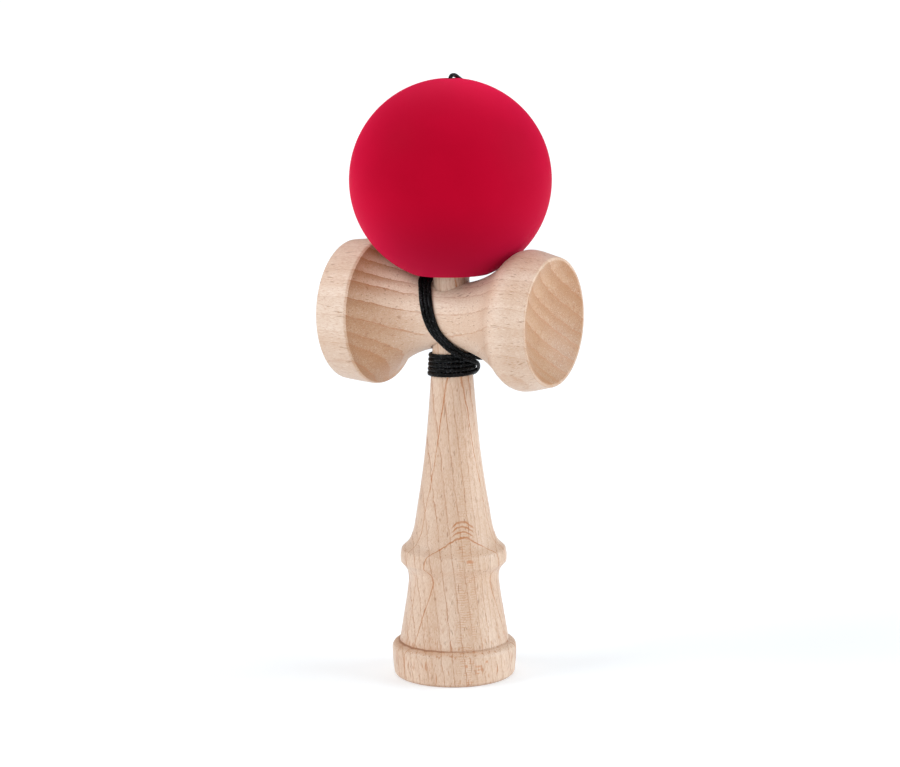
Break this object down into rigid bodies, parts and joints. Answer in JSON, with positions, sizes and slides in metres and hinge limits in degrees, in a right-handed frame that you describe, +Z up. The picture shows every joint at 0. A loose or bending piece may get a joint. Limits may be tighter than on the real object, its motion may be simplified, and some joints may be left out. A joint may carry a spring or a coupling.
{
  "type": "kendama",
  "caption": "Wooden cup-and-ball toy: turned beech stick with spike, crosspiece with dished cups, crimson bored ball on the spike and a black string wound on",
  "frame": {"origin": "middle of the foot's flat underside, on the stick's axis", "axes": "+Z up the stick to the spike, X along the crosspiece with the small cup at +X and the big cup at -X, -Y the front where the string crosses the waist"},
  "size_m": [0.0692, 0.0615, 0.1813],
  "materials": {
    "beech": "fine sanded, clear satin finish",
    "lacquer": "matt rubbery crimson lacquer on wood",
    "bead_wood": "plain turned bead",
    "braid": "fine round braid, slight sheen"
  },
  "bodies": {
    "ken": {"ken_stick": "beech", "sarado_crosspiece": "beech", "anchor_knot": "braid", "string_exit": "braid", "string_coil": "braid", "string_wrap": "braid", "string_back": "braid"},
    "string_end": {"string_top": "braid", "bead_knot": "braid"},
    "bead": {"swivel_bead": "bead_wood"},
    "tama": {"tama_ball": "lacquer"}
  },
  "joints": [
    {"name": "tama_lift", "type": "slide", "parent": "ken", "child": "string_end", "axis": [0, 0, 1], "range_m": [0, 0.04]},
    {"name": "tama_spin", "type": "hinge", "parent": "string_end", "child": "tama", "pos_m": [0, 0, 0.15], "axis": [0, 0, 1], "continuous": true},
    {"name": "bead_spin", "type": "hinge", "parent": "string_end", "child": "bead", "pos_m": [0, 0, 0.1656], "axis": [0, 0, 1], "continuous": true}
  ]
}
